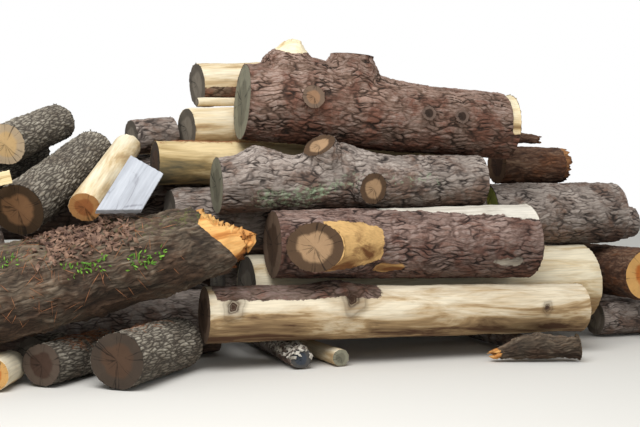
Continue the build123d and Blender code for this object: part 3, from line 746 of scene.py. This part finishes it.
def lichen_below(along, around, reach, length):
    low = band(along, 0.2, 1.0, 0.2) * band(around, 178, 245, 20)
    middle = band(along, 0.9, 2.3, 0.3) * band(around, 150, 200, 20)
    return 0.52 * low + 0.44 * middle


def moss_above(along, around, reach, length):
    return 0.42 * band(around, 60, 165, 30)


# Finishes: the material, the pattern of the relief, and the slot. Single ones stand in the calls
pine, oak, mossy, peeled = "pine_bark", "oak_bark", "mossy_bark", "peeled_wood"
grey_bark = (grey_pine, pine_plates, pine)
rotten_bark = (rotten_wood, old_bark, pine)
oak_bark = (grey_oak, oak_ridges, oak)
pale_stem = (fresh_pine, bare_grain, peeled)

# Mesh cells of logs close to the camera, farther back, and hidden in the stack
close, middling, hidden = 0.014, 0.024, 0.045

# The two knot stubs' faces take the dark end of painted shade, as hollow knots
dress("top_log", (brown_pine, pine_plates, pine), close, 0.026,
      (green_grey_end, pale_end, bark_end, knot_end, pale_end, painted_hollow_shade_end, painted_hollow_shade_end),
      bare=bare_right_end, ragged=(4,), splinters=0.06,
      knots=((1.70, 175, 0.075, 0.012), (2.035, 175, 0.075, 0.012)))
dress("lichen_log", grey_bark, close, 0.024, (green_grey_end, tan_end, tan_end, tan_end),
      moss=lichen_below)
dress("forked_log", (purple_pine, pine_plates, pine), close, 0.022,
      (dark_end, pale_end, tan_end), bare=forked_bare, fresh=forked_fresh)
dress("right_grey_log", grey_bark, 0.0155, 0.02, (mossy_end, pale_end))
dress("upper_back_log", (fresh_pine, pine_plates, pine), 0.022, 0.018, bare=peeled_front)
dress("rotten_log", rotten_bark, 0.013, 0.03, (rotten_end, rotten_end), ragged=(1,),
      splinters=0.07)
dress("rotten_chunk", rotten_bark, 0.011, 0.02, moss=moss_above, ragged=(0, 1))
dress("lower_right_log", grey_bark, middling, 0.016)
dress("far_right_log", grey_bark, middling, 0.016)
dress("thin_pole", grey_bark, 0.018, 0.008, lumps=0.003)
dress("mossy_log", (mossy_old, old_bark, mossy), 0.016, 0.045, (dark_end, orange_end),
      bare=orange_end_bare, moss=moss_above, ragged=(1, 2), splinters=0.14, lumps=0.05,
      knots=((2.5, 105, 0.09, 0.03), (2.72, 98, 0.07, 0.02)))
dress("leaning_oak_log", oak_bark, 0.0135, 0.02, (oak_end,))
dress("upper_oak_log", oak_bark, 0.016, 0.018, (pale_end,))
dress("front_oak_log", oak_bark, 0.0125, 0.018, (brown_end,))
dress("second_oak_log", oak_bark, 0.014, 0.018, (damp_end,))
dress("shaded_log", oak_bark, 0.016, 0.014)
dress("corner_log", pale_stem, 0.014, 0.003, (orange_end, orange_end), bare=all_bare)
dress("left_edge_log", oak_bark, 0.020, 0.016, (orange_end, orange_end))
dress("orange_ended_log", pale_stem, 0.018, 0.003, (rust_end, oak_end), bare=all_bare,
      lumps=0.004)
dress("peeled_bottom_log", (peeled_pine, pine_plates, peeled), 0.018, 0.02,
      (dark_end, tan_end), bare=strip_of_bark,
      knots=((0.20, 158, 0.09, 0.02), (1.27, 146, 0.11, 0.03), (3.16, 172, 0.05, 0.008)))
dress("pale_log", pale_stem, 0.030, 0.004, (grey_end, pale_end), bare=all_bare)
dress("yellow_log", (yellow_pine, bare_grain, peeled), 0.024, 0.006, (brown_end,),
      bare=all_bare)
dress("orange_log", rotten_bark, 0.022, 0.02, (orange_end, orange_end))
dress("pale_back_log", pale_stem, 0.024, 0.004, bare=all_bare)
dress("small_pale_log", pale_stem, 0.020, 0.003, (pale_end, pale_end), bare=all_bare,
      lumps=0.004)
dress("grey_ended_log", grey_bark, 0.014, 0.012)
dress("small_top_log", pale_stem, 0.016, 0.002, bare=all_bare, lumps=0.003)
dress("left_bearer_log", grey_bark, 0.020, 0.01, (slate_end, slate_end), lumps=0.004)
dress("middle_bearer_log", pale_stem, 0.013, 0.003, (green_grey_end,), bare=all_bare,
      lumps=0.004)
dress("right_bearer_log", grey_bark, middling, 0.01, lumps=0.004)
dress("torn_stump", (mossy_old, old_bark, pine), 0.0095, 0.04, (brown_end, pale_end),
      ragged=(0,), lumps=0.03)
for name in ("left_prop_log", "third_tier_left_log", "left_base_log", "left_back_base_log",
             "third_base_log", "fourth_base_log", "second_tier_log", "second_tier_back_log",
             "second_tier_left_log", "third_tier_log", "third_tier_back_log",
             "right_base_log", "right_back_base_log"):
    dress(name, grey_bark, hidden, 0.018)


# Loose bits on the logs

def bits_material(name, one, other):
    """Two tones, mixed by fine noise from bit to bit."""
    material, tree = blank_material(name)
    place = node(tree, "ShaderNodeTexCoord", out=3)
    noise = node(tree, "ShaderNodeTexNoise", {"Vector": place, "Scale": 18.0, "Detail": 2.0})
    colour = toned(tree, noise, paint(one), (0.35, 0.65, paint(other)))
    surface(tree, {"Base Color": colour, "Roughness": 0.8})
    return material


def unit(rows):
    return rows / np.linalg.norm(rows, axis=1)[:, None]


def litter(name, carrier, along, around, count, size, material, upright=False, tumble=0.0):
    """Loose bits on a log, as one piece. Each is a pointed sliver of a length, width and
    thickness that lies on the log's skin, or grows out of it, densest amid the ranges."""
    shape = LogShape(carrier)
    skin = bpy.data.objects[carrier.replace("_log", "") + "_dressed"].data
    points = vectors(skin.vertices, "co")
    normals = vectors(skin.vertex_normals, "vector")
    local = shape.local(points)
    likely = np.ones(len(points))
    for value, span in ((local[:, 0], along), (degrees_round(local), around)):
        likely = np.minimum(likely, 1 - ((2 * value - sum(span)) / (span[1] - span[0])) ** 2)
    likely = np.clip(likely, 0, None)
    rng = np.random.default_rng(count)
    picked = rng.choice(len(points), count, p=likely / likely.sum())
    up = unit(normals[picked] + rng.normal(size=(count, 3)) * tumble)
    side = unit(np.cross(up, rng.normal(size=(count, 3))))
    ahead = np.cross(side, up)
    length, width, thickness = (value * rng.uniform(0.6, 1.3, (count, 1)) for value in size)
    if upright:
        ahead, up = unit(up + 0.7 * ahead), unit(ahead - 0.7 * up)
        centre = points[picked] + ahead * length * 0.45
    else:
        centre = points[picked] + normals[picked] * (thickness + 0.002)
    reach = np.stack([ahead * length, -ahead * length, side * width, -side * width,
                      up * thickness, -up * thickness], 1) / 2
    corners = (centre[:, None] + reach).reshape(-1, 3)
    sides = np.array([(0, 2, 4), (2, 1, 4), (1, 3, 4), (3, 0, 4),
                      (2, 0, 5), (1, 2, 5), (3, 1, 5), (0, 3, 5)])
    faces = (np.arange(count)[:, None, None] * 6 + sides).reshape(-1, 3)
    mesh = bpy.data.meshes.new(name)
    mesh.from_pydata(corners.tolist(), [], faces.tolist())
    mesh.materials.append(material)
    piece = bpy.data.objects.new(name, mesh)
    bpy.context.scene.collection.objects.link(piece)
    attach(piece, "root")


# Dry needles, green shoots, flakes of rotten bark, and pale loose bark
needles = bits_material("dry_pine_needles", "#8a5433", "#a9714a")
shoots = bits_material("green_shoots", "#4c7a22", "#7cab38")
rotten_flakes = bits_material("rotten_bark_flakes", "#472f24", "#8f705c")
pale_flakes = bits_material("pale_bark_flakes", "#837b6f", "#c9c3b7")

# Length, width and thickness. Needles are drawn 4 mm wide so that they show
needle = (0.15, 0.004, 0.003)
shoot = (0.055, 0.016, 0.003)
small_shoot = (0.045, 0.014, 0.003)

litter("needles_on_second_oak", "second_oak_log", (0.15, 1.6), (30, 150), 260, needle, needles)
litter("needles_on_front_oak", "front_oak_log", (0.1, 0.9), (40, 120), 40, needle, needles)
litter("needles_on_yellow", "yellow_log", (0.0, 1.2), (60, 125), 130, needle, needles)
litter("needles_on_mossy", "mossy_log", (0.9, 3.0), (80, 230), 160, needle, needles)
litter("shoots_on_mossy_middle", "mossy_log", (2.50, 2.82), (164, 186), 60, shoot, shoots,
       upright=True)
litter("shoots_on_mossy_left", "mossy_log", (2.00, 2.40), (156, 178), 50, shoot, shoots,
       upright=True)
litter("shoots_on_mossy_far_left", "mossy_log", (1.52, 1.74), (128, 146), 24, small_shoot,
       shoots, upright=True)
litter("rotten_flakes_on_mossy", "mossy_log", (1.80, 2.65), (75, 158), 520,
       (0.065, 0.035, 0.012), rotten_flakes, tumble=0.5)
litter("flakes_on_left_bearer", "left_bearer_log", (-0.4, 0.9), (-40, 190), 320,
       (0.05, 0.03, 0.008), pale_flakes, tumble=0.4)


# Sawn offcuts

def board_material(name, tones, along, across, crack_tone):
    """A sawn board: grain and weather streaks in line with its length, and drying cracks."""
    material, tree = blank_material(name)
    place = node(tree, "ShaderNodeAttribute", attribute_name="board_place", out=1)
    streak = grained(tree, place, along, across, Detail=6.0, Roughness=0.65)
    dark, middle, light = (paint(tone) for tone in tones)
    colour = toned(tree, streak, dark, (0.3, 0.52, middle), (0.5, 0.7, light))
    checks = node(tree, "ShaderNodeVectorMath", {0: warped(tree, place, 4.0, 0.05),
                                                 1: (1.1, 9.0, 9.0)}, operation="MULTIPLY")
    cells = node(tree, "ShaderNodeTexVoronoi", {"Vector": checks, "Scale": 1.0},
                 feature="DISTANCE_TO_EDGE")
    cells = layers(tree, cells, (streak, 0.12))
    colour = toned(tree, cells, paint(crack_tone), (0.05, 0.075, colour))
    normal = node(tree, "ShaderNodeBump", {"Height": streak, "Strength": 0.5,
                                           "Distance": 0.004})
    surface(tree, {"Base Color": colour, "Roughness": 0.85, "Normal": normal,
                   "Specular IOR Level": 0.25})
    return material


# Sawn pine left in the weather: silver grey with pale streaks
weathered_board = board_material("weathered_sawn_pine", ("#9c9ea4", "#acafb6", "#bec1c7"),
                                 1.6, 18.0, "#808087")
# Freshly sawn pine: pale straw
fresh_board = board_material("fresh_sawn_pine", ("#b99a6a", "#dcc594", "#efe0ba"),
                             1.6, 30.0, "#a3855a")


def board_axes(mesh):
    """A board's own axes, from its longest edge and its largest face."""
    longest = max(mesh.edges, key=lambda e: (mesh.vertices[e.vertices[0]].co
                                             - mesh.vertices[e.vertices[1]].co).length)
    ends = [mesh.vertices[v].co for v in longest.vertices]
    along = (ends[1] - ends[0]).normalized()
    largest = max(mesh.polygons, key=lambda face: face.area)
    normal = largest.normal.copy()
    normal = (normal - along * normal.dot(along)).normalized()
    return np.array([along, normal.cross(along), normal])


def dress_board(name, material, cell, wear):
    """Skin an offcut: its faces cut fine, and its grain raised by the depth of its wear."""
    piece = merged_copy(name, straighten=True)
    axes = board_axes(piece.data)
    remesh(piece, cell)
    mesh = piece.data
    points = vectors(mesh.vertices, "co")
    local = (points - points.mean(0)) @ axes.T
    store(mesh, "board_place", local, "FLOAT_VECTOR", "vector")
    wave = np.sin(local[:, 1] / 0.009 + 2.5 * np.sin(local[:, 0] * 3.1)) * 0.5 + 0.5
    points -= vectors(mesh.vertex_normals, "vector") * (wear * wave)[:, None]
    mesh.vertices.foreach_set("co", points.astype(np.float32).ravel())
    mesh.materials.append(material)
    mesh.update()
    bpy.ops.object.shade_smooth_by_angle(angle=math.radians(40))
    piece.name = name + "_dressed"
    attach(piece, "root")
    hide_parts(name)


dress_board("weathered_slab", weathered_board, 0.009, 0.0012)
dress_board("sawn_wedge", fresh_board, 0.010, 0.0012)

# Camera at the photograph's viewpoint, placed from the peeled bottom log
log_low, log_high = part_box("peeled_bottom_log")
anchor = Vector((log_low.x, (log_low.y + log_high.y) / 2, 0))
camera_offset = Vector((-1.850, -8.891, 1.600))
camera_yaw = math.radians(18)
camera_pitch = math.radians(-1.64)
camera_data = bpy.data.cameras.new("camera")
camera_data.lens = 60
camera_data.sensor_width = 36
camera = bpy.data.objects.new("camera", camera_data)
bpy.context.scene.collection.objects.link(camera)
camera.location = anchor + camera_offset
sight = Vector((math.sin(camera_yaw) * math.cos(camera_pitch),
                math.cos(camera_yaw) * math.cos(camera_pitch), math.sin(camera_pitch)))
camera.rotation_mode = "QUATERNION"
camera.rotation_quaternion = sight.to_track_quat("-Z", "Y")
bpy.context.scene.camera = camera

# Pale floor, soft light from above, white background
bpy.ops.object.select_all(action="DESELECT")
bpy.ops.mesh.primitive_plane_add(size=60, location=(0, 0, 0))
floor = bpy.context.active_object
floor.name = "floor"
floor_material = bpy.data.materials.new("pale_floor")
floor_material.use_nodes = True
floor_shader = floor_material.node_tree.nodes["Principled BSDF"]
floor_shader.inputs["Base Color"].default_value = paint("#d9d6d0")
floor_shader.inputs["Roughness"].default_value = 0.95
floor.data.materials.append(floor_material)

world = bpy.data.worlds.new("overcast")
bpy.context.scene.world = world
world.use_nodes = True
sky = world.node_tree
sky.nodes.clear()
rays = sky.nodes.new("ShaderNodeLightPath")
seen = node(sky, "ShaderNodeMath", {0: rays.outputs["Is Camera Ray"],
                                    1: rays.outputs["Is Glossy Ray"]}, operation="MAXIMUM")
seen = node(sky, "ShaderNodeMath", {0: seen, 1: rays.outputs["Is Transmission Ray"]},
            operation="MAXIMUM")
overcast = node(sky, "ShaderNodeBackground", {"Color": paint("#ecefef"), "Strength": 0.7})
white = node(sky, "ShaderNodeBackground", {"Color": (1, 1, 1, 1), "Strength": 1.0})
mixed = node(sky, "ShaderNodeMixShader", {0: seen, 1: overcast, 2: white})
world_output = sky.nodes.new("ShaderNodeOutputWorld")
sky.links.new(mixed, world_output.inputs["Surface"])

lamp_place = Vector((-3.5, -6, 8))
lamp_target = Vector((0, 0, 1))
lamp_data = bpy.data.lights.new("soft_sky_lamp", "AREA")
lamp_data.shape = "DISK"
lamp_data.size = 7
lamp_data.energy = 900
lamp = bpy.data.objects.new("soft_sky_lamp", lamp_data)
bpy.context.scene.collection.objects.link(lamp)
lamp.location = lamp_place
lamp.rotation_mode = "QUATERNION"
lamp.rotation_quaternion = (lamp_target - lamp_place).to_track_quat("-Z", "Y")

bpy.context.scene.view_settings.view_transform = "Standard"
